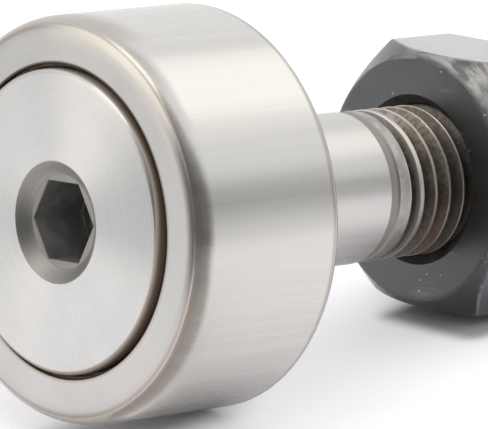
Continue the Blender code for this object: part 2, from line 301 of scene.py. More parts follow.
def make_ring(looks):
    """The tyre: rounded edges, mouth chamfers, seal grooves, counterbores and the raceway."""
    rolling, raceway, face, greasy_shaded = range(4)

    # The front face rolls off a little before it meets the elliptical edge
    corner = RING_RADIUS - FRONT_EDGE_DEPTH
    full_turn = math.radians(ROLL_OFF_DEGREES)
    reach = ROLL_OFF_RADIUS * math.sin(full_turn)
    drop = ROLL_OFF_RADIUS * (1 - math.cos(full_turn))
    roll_off = []
    for k in range(ROLL_OFF_STEPS):
        a = full_turn * k / ROLL_OFF_STEPS
        fallen = ROLL_OFF_RADIUS * (1 - math.cos(a))
        roll_off.append((corner - reach + ROLL_OFF_RADIUS * math.sin(a), RING_FRONT + fallen))
    end = RING_FRONT + FRONT_EDGE_WIDTH
    edge = []
    for k in range(FRONT_EDGE_STEPS + 1):
        a = math.radians(FRONT_EDGE_START * (1 - k / FRONT_EDGE_STEPS))
        edge.append((corner + FRONT_EDGE_DEPTH * math.cos(a), end + (FRONT_EDGE_WIDTH - drop) * math.sin(a)))
    rear = arc((RING_RADIUS - REAR_ROUND, RING_REAR - REAR_ROUND), REAR_ROUND, 0, 90, ROUND_STEPS)

    # Faces, down to the mouths
    mouth = MOUTH_RADIUS + SMALL_CHAMFER
    front = [(MOUTH_RADIUS, RING_FRONT + SMALL_CHAMFER), (mouth, RING_FRONT), *roll_off, edge[0]]
    back = [rear[-1], (mouth, RING_REAR), (MOUTH_RADIUS, RING_REAR - SMALL_CHAMFER)]

    # Seal grooves in the mouths, with the raceway's bore between them
    rear_groove = seal_groove(RING_REAR, -1)
    front_groove = seal_groove(RING_FRONT, 1)
    bore = [rear_groove[-1], (MOUTH_RADIUS, LAND_REAR), (OUTER_RACEWAY + SMALL_CHAMFER, LAND_REAR)]
    bore += [(OUTER_RACEWAY, LAND_REAR - SMALL_CHAMFER), (OUTER_RACEWAY, LAND_FRONT + SMALL_CHAMFER)]
    bore += [(OUTER_RACEWAY + SMALL_CHAMFER, LAND_FRONT), (MOUTH_RADIUS, LAND_FRONT)]

    shell = Shell(circle_angles(RING_STEPS))
    shell.lathe(edge + rear, rolling)
    shell.lathe(front, face)
    shell.lathe(back, face)
    shell.lathe([back[-1], *rear_groove], greasy_shaded)
    shell.lathe(bore, raceway)
    shell.lathe([bore[-1], *reversed(front_groove), front[0]], greasy_shaded)
    return attach(shell.finish("tyre", looks), "roller_ring", ["outer_ring"])


def fade(y):
    """Share of the full depth that a groove centred at y has."""
    for (y0, f0), (y1, f1) in zip(THREAD_FADE, THREAD_FADE[1:]):
        if y <= y1 * MM:
            return f0 + (f1 - f0) * max(0.0, (y / MM - y0) / (y1 - y0))
    return 1.0


def groove_depth(phase, y):
    """Depth of the stud's thread at y, where phase 0 is a crest and 0.5 the middle of a groove."""
    share = fade(y + (0.5 - phase) * PITCH)
    from_root = abs(phase - 0.5) * PITCH
    return max(0.0, share * THREAD_DEPTH - max(0.0, from_root - ROOT_HALF_FLAT) / FLANK_RUN)


def stud_thread_radius(phase, y):
    radius = CREST_RADIUS - groove_depth(phase, y)
    return min(radius, CREST_RADIUS - (y - (STUD_END - END_CHAMFER)))


def nut_thread_radius(phase, y):
    """The first ridges are as low as the stud's run-out is shallow, so that the nut can travel onto it."""
    radius = CREST_RADIUS - groove_depth(phase, y + NUT_TRAVEL_IN) + THREAD_GAP
    from_face = min(y - NUT_FACE, NUT_BACK - y)
    return max(radius, NUT_MINOR_RADIUS, NUT_MOUTH_RADIUS - from_face)


def make_stud(looks):
    """One turned piece, from the socket in the head to the threaded end."""
    head, scale, countersink, thread, shank, neck = range(6)
    angles = circle_angles(STUD_STEPS)
    shell = Shell(angles)

    # Socket: drill point, drilled wall, broached floor, hexagon walls, countersink's flat floor and stepped cone
    drill_floor = HEAD_FACE + DRILL_DEPTH
    drill_point = drill_floor + DRILL_RADIUS * math.tan(DRILL_SLOPE)
    socket_floor = HEAD_FACE + SOCKET_DEPTH
    cone = [(r * MM, HEAD_FACE + depth * MM) for r, depth in COUNTERSINK_STEPS]
    cone_floor = cone[0][1]

    def hexagon_row(grow, y):
        return [Shell.point(a, hexagon_radius(SOCKET_APOTHEM, a) + grow, y) for a in angles]

    inside = [[(0.0, drill_point, 0.0)], ring_row(angles, DRILL_RADIUS, drill_floor)]
    inside += [ring_row(angles, DRILL_RADIUS, socket_floor), hexagon_row(0.0, socket_floor)]
    inside += [hexagon_row(0.0, cone_floor + SOCKET_LIP)]
    shell.strip(inside, scale)
    shell.strip([inside[-1], hexagon_row(SOCKET_LIP, cone_floor), ring_row(angles, *cone[0])], neck)
    shell.lathe(cone, countersink)

    # Head
    corner = (FLANGE_RADIUS - FLANGE_EDGE_ROUND, HEAD_FACE + FLANGE_EDGE_ROUND)
    rounded = arc(corner, FLANGE_EDGE_ROUND, -90, 0, ROUND_STEPS)
    shell.lathe([cone[-1], *rounded, (FLANGE_RADIUS, HEAD_BACK)], head)

    # Inner raceway between its reliefs, spigot and shank
    relief = INNER_RACEWAY - RELIEF_DEPTH
    relief_end = HEAD_BACK + RELIEF_WIDTH
    spigot_start = PLATE_FRONT - FIT_GAP
    body = [(FLANGE_RADIUS, HEAD_BACK), (relief, HEAD_BACK), (relief, relief_end)]
    body += [(INNER_RACEWAY, relief_end + RELIEF_DEPTH), (INNER_RACEWAY, spigot_start)]
    body += [(SPIGOT_RADIUS, spigot_start), (SPIGOT_RADIUS, SPIGOT_END)]
    body += [(SHANK_RADIUS, SHANK_START), (SHANK_RADIUS, NECK_START)]
    shell.lathe(body, shank)
    thread_start = NECK_START + NECK_LENGTH
    bottom = SHANK_RADIUS - NECK_DEPTH
    waist = [body[-1], (bottom, NECK_START + NECK_DEPTH)]
    waist += [(bottom, thread_start - NECK_DEPTH), (CREST_RADIUS, thread_start)]
    shell.lathe(waist, neck)

    # Thread, chamfered end and centre hole
    shell.thread(thread_start, STUD_END, stud_thread_radius, thread)
    hole_depth = CENTRE_HOLE_RADIUS * math.tan(CENTRE_HOLE_SLOPE)
    end = [(CREST_RADIUS - END_CHAMFER, STUD_END), (CENTRE_HOLE_RADIUS, STUD_END)]
    shell.lathe([*end, (0.0, STUD_END - hole_depth)], head)
    return attach(shell.finish("threaded_stud", looks), "stud_assembly", ["stud"])


def make_side_plate(looks):
    bore = SPIGOT_RADIUS + FIT_GAP
    chamfer = 0.1 * MM
    corner = (FLANGE_RADIUS - FLANGE_EDGE_ROUND, SHOULDER - FLANGE_EDGE_ROUND)
    profile = [(bore, PLATE_FRONT), (FLANGE_RADIUS, PLATE_FRONT)]
    profile += arc(corner, FLANGE_EDGE_ROUND, 0, 90, PLATE_ROUND_STEPS)
    profile += [(bore + chamfer, SHOULDER), (bore, SHOULDER - chamfer), (bore, PLATE_FRONT)]
    shell = Shell(circle_angles(SEAL_STEPS))
    shell.lathe(profile)
    return attach(shell.finish("flange_plate", looks), "stud_assembly", ["side_plate"])


def make_seal(name, node, inward, looks):
    """A rubber ring held in the ring's groove, its lip tapering towards the flange."""
    low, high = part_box(node)
    near, far = (low.y, high.y) if inward > 0 else (high.y, low.y)
    lip = FLANGE_RADIUS + 0.1 * MM
    chamfer = 0.08 * MM
    profile = [(lip, near + inward * chamfer), (lip + chamfer, near), (SEAL_ROOT, near), (SEAL_ROOT, far)]
    profile += [(MOUTH_RADIUS, far), (lip, (near + far) / 2), profile[0]]
    shell = Shell(circle_angles(SEAL_STEPS))
    shell.lathe(profile)
    return attach(shell.finish(name, looks), "roller_ring", [node])


def nut_outline():
    """(angle, radius) of the rounded hexagon, all the way round, with rising angles."""
    centre_radius = (NUT_APOTHEM - NUT_CORNER_ROUND) / math.cos(math.pi / 6)
    half_side = math.pi / 6  # from a corner to the middle of a side

    def rounding(corner, angle):
        centre = Vector((math.cos(corner), math.sin(corner))) * centre_radius
        return centre + NUT_CORNER_ROUND * Vector((math.cos(angle), math.sin(angle)))

    points = []
    for k in range(6):
        corner = NUT_TURN + k * 2 * half_side
        turns = [half_side * (2 * n / CORNER_STEPS - 1) for n in range(CORNER_STEPS + 1)]
        points += [rounding(corner, corner + turn) for turn in turns]
        target = rounding(corner + 2 * half_side, corner + half_side)
        last = points[-1]
        points += [last.lerp(target, n / FLAT_STEPS) for n in range(1, FLAT_STEPS)]
    first = math.atan2(points[0].y, points[0].x)
    return [(first + (math.atan2(p.y, p.x) - first) % math.tau, p.length) for p in points]


def make_nut(looks):
    """A hexagon nut, chamfered on both faces, with the stud's thread in its bore."""
    coat, bore, flats = range(3)
    outline = nut_outline()
    angles = [a for a, _ in outline]
    shell = Shell(angles)
    face_inner = NUT_FACE_RADIUS - 0.3 * MM
    mouth = NUT_MOUTH_RADIUS + NUT_LIP

    def edge_rows(face, inward, slope):
        """From the flat face over the corner chamfer to the side wall."""
        steep = inward * math.tan(slope)
        rows = [ring_row(angles, face_inner, face), ring_row(angles, NUT_FACE_RADIUS - NUT_LIP, face)]
        rows += [ring_row(angles, NUT_FACE_RADIUS + 0.4 * NUT_LIP, face + 0.45 * NUT_LIP * steep)]
        for share in (1 / 3, 2 / 3, 1):
            out = [(a, (r - NUT_LIP - NUT_FACE_RADIUS) * share) for a, r in outline]
            rows.append([Shell.point(a, NUT_FACE_RADIUS + d, face + d * steep) for a, d in out])
        at_wall = face + inward * NUT_LIP
        rows.append([Shell.point(a, r, at_wall + (r - NUT_FACE_RADIUS) * steep) for a, r in outline])
        return rows

    front = edge_rows(NUT_FACE, 1, NUT_FRONT_SLOPE)
    back = edge_rows(NUT_BACK, -1, NUT_BACK_SLOPE)
    heights = (NUT_FACE + 3 * MM, NUT_BACK - 2 * MM)
    wall = [[Shell.point(a, r, y) for a, r in outline] for y in heights]
    shell.strip([ring_row(angles, mouth, NUT_FACE)] + front, coat)
    shell.strip([front[-1]] + wall + [back[-1]], flats)
    shell.strip(list(reversed(back)), coat)
    shell.strip([ring_row(angles, face_inner, NUT_BACK), ring_row(angles, mouth, NUT_BACK)], coat)
    for face in (NUT_FACE, NUT_BACK):
        shell.strip([ring_row(angles, mouth, face), ring_row(angles, NUT_MOUTH_RADIUS, face)], coat)
    shell.thread(NUT_FACE, NUT_BACK, nut_thread_radius, bore)
    return attach(shell.finish("hexagon_nut", looks), "lock_nut", ["nut"])


# ---------------------------------------------------------------- materials


MARKS_PER_METRE = 9000.0  # how finely the lathe's and the grinder's marks lie


def dim(colour, share):
    return tuple(c * share for c in colour)


class Nodes:
    """Short names for the nodes of one material."""

    def __init__(self, name):
        self.material = bpy.data.materials.new(name)
        self.material.use_nodes = True
        self.tree = self.material.node_tree
        self.shader = self.tree.nodes["Principled BSDF"]

    def add(self, kind, inputs=(), **settings):
        node = self.tree.nodes.new("ShaderNode" + kind)
        for key, value in settings.items():
            setattr(node, key, value)
        for key, value in dict(inputs).items():
            self.feed(node.inputs[key], value)
        return node

    def feed(self, socket, value):
        if isinstance(value, bpy.types.NodeSocket):
            self.tree.links.new(value, socket)
        else:
            socket.default_value = value

    def math(self, operation, a, b=0.0, c=0.0):
        return self.add("Math", {0: a, 1: b, 2: c}, operation=operation).outputs[0]

    def window(self, value, low, high, to_low=0.0, to_high=1.0):
        """Smooth step from to_low at `low` to to_high at `high`."""
        inputs = {"Value": value, "From Min": low, "From Max": high, "To Min": to_low, "To Max": to_high}
        return self.add("MapRange", inputs, interpolation_type="SMOOTHSTEP").outputs["Result"]

    def mix(self, share, a, b):
        node = self.add("Mix", data_type="RGBA")
        self.feed(node.inputs["Factor"], share)
        self.feed(node.inputs["A"], a if isinstance(a, bpy.types.NodeSocket) else (*a, 1.0))
        self.feed(node.inputs["B"], b if isinstance(b, bpy.types.NodeSocket) else (*b, 1.0))
        return node.outputs["Result"]

    def axes(self):
        """Position, its x, y and z, and the distance from the Y axis, in the row frame."""
        position = self.add("TexCoord").outputs["Object"]
        split = self.add("SeparateXYZ", {0: position})
        flat = self.add("VectorMath", {0: position, 1: (1.0, 0.0, 1.0)}, operation="MULTIPLY").outputs[0]
        radius = self.add("VectorMath", {0: flat}, operation="LENGTH").outputs["Value"]
        return position, split.outputs, radius

    def noise(self, position, scale, detail=2.0, stretch=None):
        if stretch:
            position = self.add("VectorMath", {0: position, 1: stretch}, operation="MULTIPLY").outputs[0]
        return self.add("TexNoise", {"Vector": position, "Scale": scale, "Detail": detail}).outputs["Fac"]

    def lathe_marks(self, radius, y):
        """Noise that changes with radius and y only, so it makes rings round the axis."""
        scaled = [self.math("MULTIPLY", value, MARKS_PER_METRE) for value in (radius, y)]
        vector = self.add("CombineXYZ", {0: scaled[0], 1: scaled[1]}).outputs[0]
        return self.add("TexNoise", {"Vector": vector, "Scale": 1.0, "Detail": 1.0}).outputs["Fac"]

    def towards(self, position, degrees):
        """How far a point lies out from the axis in one direction, in degrees from +X towards +Z."""
        a = math.radians(degrees)
        way = (math.cos(a), 0.0, math.sin(a))
        return self.add("VectorMath", {0: position, 1: way}, operation="DOT_PRODUCT").outputs["Value"]

    def shine(self, **values):
        """Feeds inputs of the shader. A plain number goes on the socket itself."""
        for key, value in values.items():
            self.feed(self.shader.inputs[key.replace("_", " ")], value)

    def brushed(self, amount):
        """Spreads highlights across marks that run round the axis."""
        self.shine(Anisotropic=amount, Anisotropic_Rotation=0.25)
        tangent = self.add("Tangent", direction_type="RADIAL", axis="Y").outputs[0]
        self.feed(self.shader.inputs["Tangent"], tangent)

    def bump(self, height, strength, distance):
        inputs = {"Height": height, "Strength": strength, "Distance": distance}
        self.feed(self.shader.inputs["Normal"], self.add("Bump", inputs).outputs["Normal"])


def turned_steel(name, colour, roughness, anisotropy):
    """Steel finished on a lathe or grinder: fine rings round the axis, so its reflections spread across them."""
    m = Nodes(name)
    position, xyz, radius = m.axes()
    cloud = m.noise(position, 160.0, 3.0)
    marks = m.lathe_marks(radius, xyz[1])
    m.shine(Metallic=1.0, Base_Color=m.mix(m.window(cloud, 0.35, 0.65), dim(colour, 0.93), colour))
    m.shine(Roughness=m.window(marks, 0.2, 0.8, roughness * 0.85, roughness * 1.15))
    m.brushed(anisotropy)
    m.bump(marks, 0.25, 0.002 * MM)
    return m.material


def ground_steel(name, colour, roughness):
    """Ground surface with fine streaks along the axis. On the ring, painted shade makes its edges browner and
    darker, and a patch on top near the front darker.
    """
    m = Nodes(name)
    position, xyz, radius = m.axes()
    streak = m.noise(position, 1300.0, 3.0, (1.0, 0.02, 1.0))
    base = m.mix(m.window(streak, 0.3, 0.7), dim(colour, 0.93), colour)

    # Painted shade: a darker line where the rear edge's rounding starts
    on_ring = m.window(radius, RING_RADIUS - 0.6 * MM, RING_RADIUS - 0.4 * MM)
    rear = m.window(xyz[1], RING_REAR - 0.80 * MM, RING_REAR - 0.56 * MM)
    base = m.mix(m.math("MULTIPLY", m.math("MULTIPLY", rear, on_ring), 0.45), base, (0.22, 0.20, 0.18))

    # Painted brown shade at the start of the front edge, stronger at the upper right, where it tones down a bright
    # line
    upper_right = m.math("DIVIDE", m.towards(position, 62), radius)
    share = m.window(upper_right, 0.92, 0.72, 0.42, 0.28)
    first = m.window(xyz[1], RING_FRONT + 0.62 * MM, RING_FRONT + 0.20 * MM)
    base = m.mix(m.math("MULTIPLY", first, share), base, (0.44, 0.36, 0.295))

    # Painted shade: a darker patch on top, near the front
    top_shade = m.window(m.math("DIVIDE", xyz[2], radius), 0.86, 0.97)
    near_front = m.window(xyz[1], RING_FRONT + 3.0 * MM, RING_FRONT + 1.2 * MM)
    base = m.mix(m.math("MULTIPLY", top_shade, near_front), base, (0.52, 0.495, 0.465))

    m.shine(Metallic=1.0, Base_Color=base)
    m.shine(Roughness=m.window(streak, 0.2, 0.8, roughness * 0.9, roughness * 1.1))
    m.brushed(0.5)
    m.bump(streak, 0.05, 0.001 * MM)
    return m.material


def head_steel(name, colour):
    """The head's turned face, with faint tool marks, and brown grime with painted shade round its edge and into the
    gap to the ring, darkest at the lower right.
    """
    m = Nodes(name)
    position, xyz, radius = m.axes()
    cloud = m.noise(position, 200.0, 3.0)
    base = m.mix(m.window(cloud, 0.35, 0.65), dim(colour, 0.94), colour)
    tool = m.add("CombineXYZ", {0: radius}).outputs[0]
    base = m.mix(m.window(m.noise(tool, 2200.0), 0.55, 0.75, 0.0, 0.35), base, dim(colour, 0.88))

    # `over` grows round the rounded edge, from where it leaves the face. The upper right gets less of the painted
    # shade
    edge = FLANGE_RADIUS - FLANGE_EDGE_ROUND
    over = m.math("ADD", m.math("SUBTRACT", radius, edge), m.math("SUBTRACT", xyz[1], HEAD_FACE))
    over = m.math("MULTIPLY", over, m.window(radius, edge - 0.02 * MM, edge))
    lit_side = m.window(m.math("DIVIDE", m.towards(position, 62), radius), 0.35, 0.9)
    over = m.math("SUBTRACT", over, m.math("MULTIPLY", lit_side, 0.36 * MM))
    # Brown grime and painted shade: tan where the rounded edge starts, then dark brown round it and down into the
    # gap to the ring, darkest at the lower right
    base = m.mix(m.window(over, 0.0, 0.2 * MM, 0.0, 0.95), base, (0.40, 0.335, 0.27))
    shaded_side = m.window(m.math("DIVIDE", m.towards(position, -35), radius), -0.45, 0.35)
    grime_and_shade = m.window(over, 0.12 * MM, 0.62 * MM)
    base = m.mix(m.math("MULTIPLY", grime_and_shade, shaded_side), base, (0.14, 0.105, 0.08))

    marks = m.lathe_marks(radius, xyz[1])
    m.shine(Base_Color=base, Metallic=m.window(over, 0.0, 0.2 * MM, 1.0, 0.25))
    m.shine(Roughness=m.window(marks, 0.2, 0.8, 0.25, 0.30))
    m.brushed(0.95)
    m.bump(marks, 0.1, 0.001 * MM)
    return m.material


def ring_face_steel(name, colour):
    """The ring's faces, brown round the mouth, with painted shade before the rounded edge and on the mouth's upper
    lip, and a painted highlight before the edge at the upper right.
    """
    m = Nodes(name)
    position, xyz, radius = m.axes()
    cloud = m.noise(position, 260.0, 4.0)
    base = m.mix(m.window(cloud, 0.3, 0.7), dim(colour, 0.92), colour)
    edge = RING_RADIUS - FRONT_EDGE_DEPTH
    away = m.window(m.math("DIVIDE", m.towards(position, 62), radius), 0.92, 0.72)
    # Painted highlight on the face's outer part at the upper right
    painted_highlight = m.window(radius, edge - 1.3 * MM, edge - 0.5 * MM)
    base = m.mix(m.math("MULTIPLY", painted_highlight, m.math("SUBTRACT", 1.0, away)), base, (0.64, 0.61, 0.57))
    # Painted shade: a brown line just before the rounded edge, except at the upper right; the mouth is browner too
    line = m.math("MULTIPLY", m.window(radius, edge - 0.32 * MM, edge - 0.04 * MM, 0.0, 0.55), away)
    mouth = m.window(radius, MOUTH_RADIUS + 0.3 * MM, MOUTH_RADIUS + 0.1 * MM, 0.0, 0.5)
    base = m.mix(m.math("MAXIMUM", line, mouth), base, (0.34, 0.26, 0.19))
    # Painted shade on the mouth's lip, towards the top
    upper = m.window(m.math("DIVIDE", xyz[2], radius), 0.1, 0.8)
    lip = m.window(radius, MOUTH_RADIUS + 0.20 * MM, MOUTH_RADIUS + 0.12 * MM, 0.0, 0.9)
    base = m.mix(m.math("MULTIPLY", upper, lip), base, (0.09, 0.07, 0.052))
    m.shine(Metallic=1.0, Base_Color=base, Roughness=m.window(cloud, 0.2, 0.8, 0.19, 0.26))
    m.brushed(0.3)
    m.bump(m.noise(position, 1500.0), 0.12, 0.002 * MM)
    return m.material


def greasy_shaded_steel(name):
    """The walls of the ring's mouth under old lubricant, brown, with painted shade that makes them darker towards
    the top.
    """
    m = Nodes(name)
    position, xyz, radius = m.axes()
    grain = m.noise(position, 700.0, 3.0)
    low = m.mix(m.window(grain, 0.3, 0.7), (0.46, 0.365, 0.28), (0.53, 0.43, 0.335))
    # Painted shade: darker towards the top
    top_shade = m.window(m.math("DIVIDE", xyz[2], radius), -0.1, 0.5)
    m.shine(Metallic=1.0, Roughness=0.5, Base_Color=m.mix(top_shade, low, (0.07, 0.053, 0.04)))
    m.bump(grain, 0.2, 0.01 * MM)
    return m.material


def dark_scale(name, dark, light):
    """Dull scale and old oil in the socket and in the nut's bore."""
    m = Nodes(name)
    position, _, _ = m.axes()
    patch = m.noise(position, 900.0, 3.0)
    m.shine(Roughness=0.8, Specular_IOR_Level=0.3, Base_Color=m.mix(m.window(patch, 0.3, 0.7), dark, light))
    return m.material


def thread_steel(name):
    """Pale crests, bright with wear, over brown flanks, both painted lighter on top and darker below; oil and
    painted shade make it darkest near the nut; and a mottled ring before the first groove.
    """
    m = Nodes(name)
    position, xyz, radius = m.axes()
    y, z = xyz[1], xyz[2]
    patch = m.noise(position, 420.0, 4.0, (1.0, 0.4, 1.0))
    rust = m.noise(position, 620.0, 3.0)
    fine = m.noise(position, 3100.0, 5.0)

    # Flanks, painted lighter on top and darker below, with rust, fine dark dirt, and oil and painted shade near the
    # nut
    shaded_flank = m.mix(m.window(patch, 0.3, 0.7), (0.105, 0.083, 0.070), (0.19, 0.155, 0.135))
    lit_flank = m.mix(m.window(patch, 0.35, 0.65), (0.30, 0.26, 0.21), (0.52, 0.485, 0.445))
    flank = m.mix(m.window(z, -1.0 * MM, 4.7 * MM), shaded_flank, lit_flank)
    flank = m.mix(m.window(rust, 0.52, 0.66, 0.0, 0.45), flank, (0.18, 0.10, 0.055))
    flank = m.mix(m.window(fine, 0.58, 0.40, 0.0, 0.45), flank, (0.085, 0.076, 0.056))
    # Oil and painted shade near the nut
    oil_and_shade = m.window(y, NUT_FACE - 1.25 * MM, NUT_FACE - 0.55 * MM, 0.0, 0.5)
    oil_and_shade = m.math("MULTIPLY", oil_and_shade, m.window(y, NUT_FACE + 2.5 * MM, NUT_FACE + 0.5 * MM, 0.4, 1.0))
    flank = m.mix(oil_and_shade, flank, (0.065, 0.056, 0.047))
    first = m.math("MULTIPLY", m.window(y, 15.0 * MM, 14.6 * MM), m.window(radius, 4.62 * MM, 4.84 * MM))
    flank = m.mix(first, flank, (0.25, 0.248, 0.24))

    # Crests, painted lighter on top and darker below, duller along the thread, and the blank ring in front of them
    along = m.window(y, 13.0 * MM, 17.2 * MM)
    shaded_crest = m.mix(along, (0.35, 0.335, 0.31), (0.28, 0.26, 0.23))
    lit_crest = m.mix(along, (0.76, 0.73, 0.68), (0.60, 0.555, 0.49))
    wear_and_highlight = m.mix(m.window(z, -2.5 * MM, 2.5 * MM), shaded_crest, lit_crest)
    mottled = m.window(m.noise(position, 900.0, 4.0), 0.35, 0.65)
    blank = m.mix(mottled, (0.39, 0.375, 0.36), (0.54, 0.525, 0.51))
    wear_and_highlight = m.mix(m.window(y, 13.2 * MM, 13.0 * MM), wear_and_highlight, blank)

    ragged = m.math("ADD", radius, m.math("MULTIPLY", patch, 0.1 * MM))
    crest = m.window(ragged, 4.93 * MM, 5.0 * MM)
    m.shine(Metallic=1.0, Base_Color=m.mix(crest, flank, wear_and_highlight), Roughness=m.window(crest, 0.0, 1.0, 0.5, 0.4))
    m.bump(m.noise(position, 1900.0, 5.0), 0.3, 0.01 * MM)
    return m.material


def black_oxide(name, roughness, coat_roughness, paleness):
    """Black nut under a film of oil: rubbed bright along its edges, with painted highlights on one chamfer and on
    the top of the face's rim, and a few pale specks.
    """
    m = Nodes(name)
    position, xyz, radius = m.axes()
    cloud = m.noise(position, 220.0, 4.0)
    shades = [dim(shade, paleness) for shade in ((0.062, 0.064, 0.070), (0.088, 0.090, 0.096))]
    coat = m.mix(m.window(cloud, 0.3, 0.7), *shades)

    def within(degrees, outer, inner, most=1.0):
        """0 from `outer` degrees away from a direction out from the axis, `most` from `inner` degrees."""
        share = m.math("DIVIDE", m.towards(position, degrees), radius)
        return m.window(share, math.cos(math.radians(outer)), math.cos(math.radians(inner)), 0.0, most)

    # Painted highlight on the front chamfer's upper right, streaked round the axis
    chamfer = m.window(radius, NUT_FACE_RADIUS, NUT_FACE_RADIUS + 0.3 * MM)
    near_face = m.window(xyz[1], NUT_FACE + 2.3 * MM, NUT_FACE + 1.7 * MM)
    wear_and_highlight = m.math("MULTIPLY", m.math("MULTIPLY", within(62, 42, 14), chamfer), near_face)
    turned = m.math("MULTIPLY", m.math("ARCTAN2", xyz[2], xyz[0]), 5.0)
    out, along = m.math("MULTIPLY", radius, 2600.0), m.math("MULTIPLY", xyz[1], 900.0)
    highlight_streaks = m.noise(m.add("CombineXYZ", {0: out, 1: turned, 2: along}).outputs[0], 1.0, 4.0)
    wear_and_highlight = m.math("MULTIPLY", wear_and_highlight, m.window(highlight_streaks, 0.38, 0.64, 0.06, 1.0))

    # Bright broken lines where both chamfers meet the flats and along the six corners, and a painted highlight on
    # the face's rim at the top
    middles = [math.degrees(NUT_TURN) + 30 + 60 * k for k in range(3)]
    flats = [m.math("ABSOLUTE", m.towards(position, middle)) for middle in middles]
    outermost = m.math("MAXIMUM", m.math("MAXIMUM", flats[0], flats[1]), flats[2])
    on_flat = m.window(outermost, NUT_APOTHEM - 0.12 * MM, NUT_APOTHEM - 0.04 * MM)
    rise, fall = math.tan(NUT_FRONT_SLOPE), math.tan(NUT_BACK_SLOPE)
    front = m.math("MULTIPLY_ADD", radius, rise, NUT_FACE - NUT_FACE_RADIUS * rise)
    back = m.math("MULTIPLY_ADD", radius, -fall, NUT_BACK + NUT_FACE_RADIUS * fall)
    from_chamfer = m.math("MINIMUM", m.math("SUBTRACT", xyz[1], front), m.math("SUBTRACT", back, xyz[1]))
    line = m.math("MULTIPLY", on_flat, m.window(from_chamfer, 0.24 * MM, 0.08 * MM))
    corner = m.window(radius, NUT_CORNER_RADIUS - 0.20 * MM, NUT_CORNER_RADIUS - 0.09 * MM)
    line = m.math("MAXIMUM", line, corner)
    from_rim = m.math("ABSOLUTE", m.math("SUBTRACT", radius, NUT_FACE_RADIUS))
    rim = m.math("MULTIPLY", m.window(from_rim, 0.16 * MM, 0.05 * MM), within(86, 30, 0, 0.55))
    line = m.math("MAXIMUM", line, m.math("MULTIPLY", rim, near_face))
    line = m.math("MULTIPLY", line, m.window(m.noise(position, 700.0, 3.0), 0.40, 0.58, 0.1, 0.9))
    base = m.mix(m.math("MAXIMUM", wear_and_highlight, line), coat, (0.34, 0.336, 0.328))

    # Long faint scratches, and pale specks
    hair = m.noise(position, 900.0, 2.0, (0.16, 1.0, 1.0))
    base = m.mix(m.window(hair, 0.62, 0.72, 0.0, 0.35), base, (0.24, 0.24, 0.24))
    cells = m.add("TexVoronoi", {"Vector": position, "Scale": 1500.0})
    few = m.window(m.add("SeparateXYZ", {0: cells.outputs["Color"]}).outputs[0], 0.80, 0.81)
    speck = m.math("MULTIPLY", few, m.window(cells.outputs["Distance"], 0.16, 0.08))
    base = m.mix(speck, base, (0.34, 0.34, 0.33))

    m.shine(Metallic=0.8, Coat_Weight=1.0, Coat_Roughness=coat_roughness, Base_Color=base)
    m.shine(Roughness=m.window(cloud, 0.2, 0.8, *roughness))
    m.bump(m.noise(position, 500.0, 4.0, (1.0, 1.0, 0.35)), 0.2, 0.015 * MM)
    return m.material


def plain_metal(name, colour, roughness, grain, stretch):
    """Metal that only shows when the follower is taken apart."""
    m = Nodes(name)
    position, _, _ = m.axes()
    cloud = m.noise(position, grain, 3.0, stretch)
    m.shine(Metallic=1.0, Base_Color=m.mix(m.window(cloud, 0.3, 0.7), dim(colour, 0.9), colour))
    m.shine(Roughness=m.window(cloud, 0.2, 0.8, roughness * 0.85, roughness * 1.2))
    m.bump(cloud, 0.2, 0.004 * MM)
    return m.material


def soft_material(name, dark, light, roughness, grain):
    """Rubber or plastic with a fine grain."""
    m = Nodes(name)
    position, _, _ = m.axes()
    cloud = m.noise(position, grain, 3.0)
    m.shine(Base_Color=m.mix(m.window(cloud, 0.3, 0.7), dark, light))
    m.shine(Roughness=m.window(cloud, 0.2, 0.8, roughness * 0.9, roughness * 1.1))
    m.bump(cloud, 0.2, 0.01 * MM)
    return m.material


# ---------------------------------------------------------------- stage


def direction(azimuth_degrees, elevation_degrees):
    """Unit vector; azimuth is measured from +X towards +Y."""
    a, e = math.radians(azimuth_degrees), math.radians(elevation_degrees)
    return Vector((math.cos(a) * math.cos(e), math.sin(a) * math.cos(e), math.sin(e)))


def make_world():
    world = bpy.data.worlds.new("studio")
    bpy.context.scene.world = world
    world.use_nodes = True
    background = world.node_tree.nodes["Background"]
    background.inputs["Color"].default_value = (1.0, 1.0, 1.0, 1.0)
    background.inputs["Strength"].default_value = 1.0


def make_softbox(name, azimuth, elevation, width, height, radiance, colour, mirrored=None):
    """An area lamp that faces the origin.

    Metal would see its light added to the world's behind it. With `mirrored`, metal sees a panel of that colour
    in the lamp's place.
    """
    lamp = bpy.data.lights.new(name, "AREA")
    lamp.shape = "RECTANGLE"
    lamp.size, lamp.size_y = width, height
    lamp.energy = radiance * math.pi * width * height
    lamp.color = colour
    made = bpy.data.objects.new(name, lamp)
    bpy.context.scene.collection.objects.link(made)
    towards = direction(azimuth, elevation)
    made.location = towards * LAMP_DISTANCE
    made.rotation_euler = towards.to_track_quat("Z", "Y").to_euler()
    if mirrored:
        made.visible_glossy = False
        place = Matrix.Translation(made.location) @ made.rotation_euler.to_matrix().to_4x4()
        bm = bmesh.new()
        corners = [(-0.5, -0.5), (0.5, -0.5), (0.5, 0.5), (-0.5, 0.5)]
        bm.faces.new([bm.verts.new(place @ Vector((x * width, y * height, 0.0))) for x, y in corners])
        reflection_only(name + "_panel", bm, glow(Nodes(name + "_glow"), mirrored))


def table_height(x, y):
    """z of the table's plane above or below a point of the row frame."""
    return (TABLE_DISTANCE - TABLE_NORMAL.x * x - TABLE_NORMAL.y * y) / TABLE_NORMAL.z


